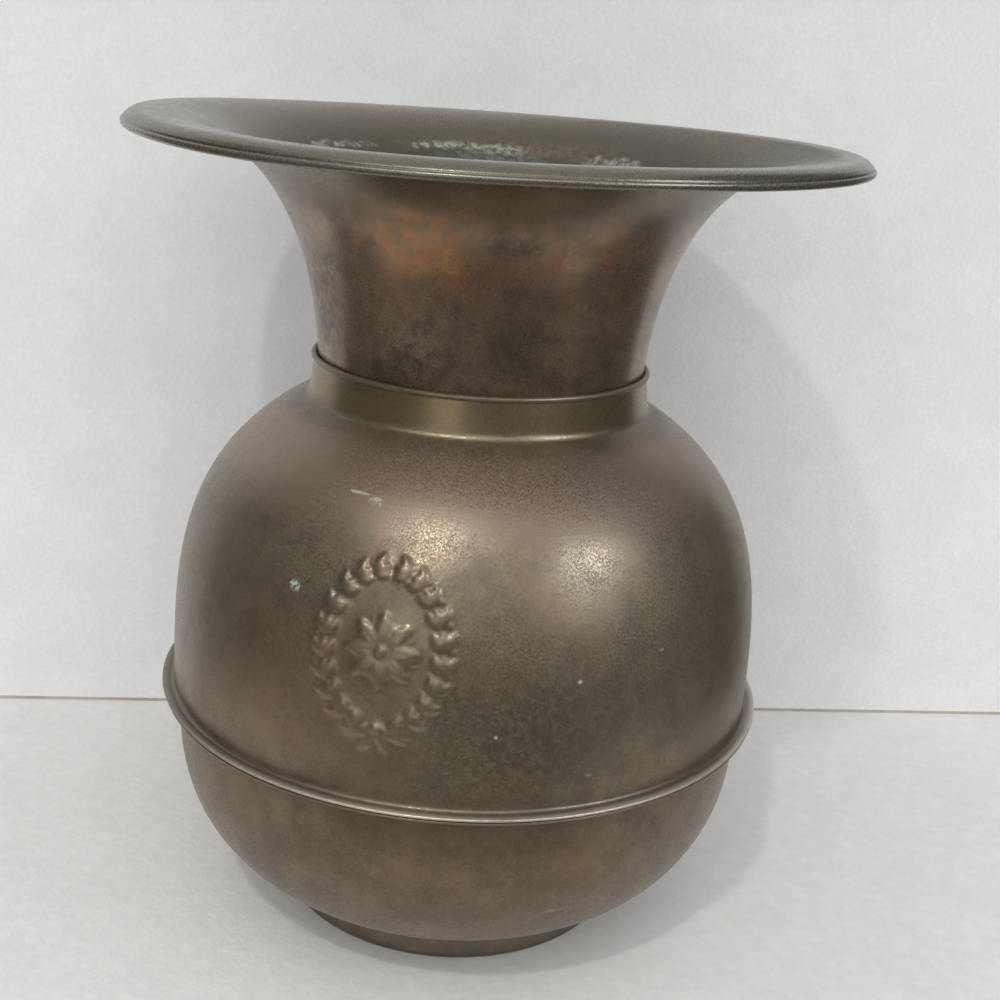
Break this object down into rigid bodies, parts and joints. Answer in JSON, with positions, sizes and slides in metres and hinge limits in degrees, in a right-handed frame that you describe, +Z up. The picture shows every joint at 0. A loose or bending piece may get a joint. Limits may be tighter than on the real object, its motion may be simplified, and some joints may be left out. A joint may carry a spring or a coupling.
{
  "type": "spittoon",
  "caption": "Brass floor spittoon: round two-shell body with a belt seam, a collar, and a wide flared mouth funnel that lifts out.",
  "frame": {"origin": "centre of the foot, on the surface that the spittoon stands on", "axes": "+Z up along the axis of revolution, -Y towards the embossed ornament on the upper shell"},
  "size_m": [0.2306, 0.2306, 0.267],
  "materials": {
    "funnel_brass": "aged satin with copper-red blotches",
    "shell_brass": "dull brown patina",
    "bowl_brass": "dull brown patina",
    "foot_brass": "dark patina",
    "solder": "dull grey soft solder"
  },
  "bodies": {
    "body": {"upper_shell": "shell_brass", "bowl_shell": "bowl_brass", "seam_solder": "solder", "foot_ring": "foot_brass", "foot_solder": "solder"},
    "funnel": {"mouth_funnel": "funnel_brass"}
  },
  "joints": [
    {"name": "funnel_lift", "type": "slide", "parent": "body", "child": "funnel", "axis": [0, 0, 1], "range_m": [0, 0.08]}
  ]
}
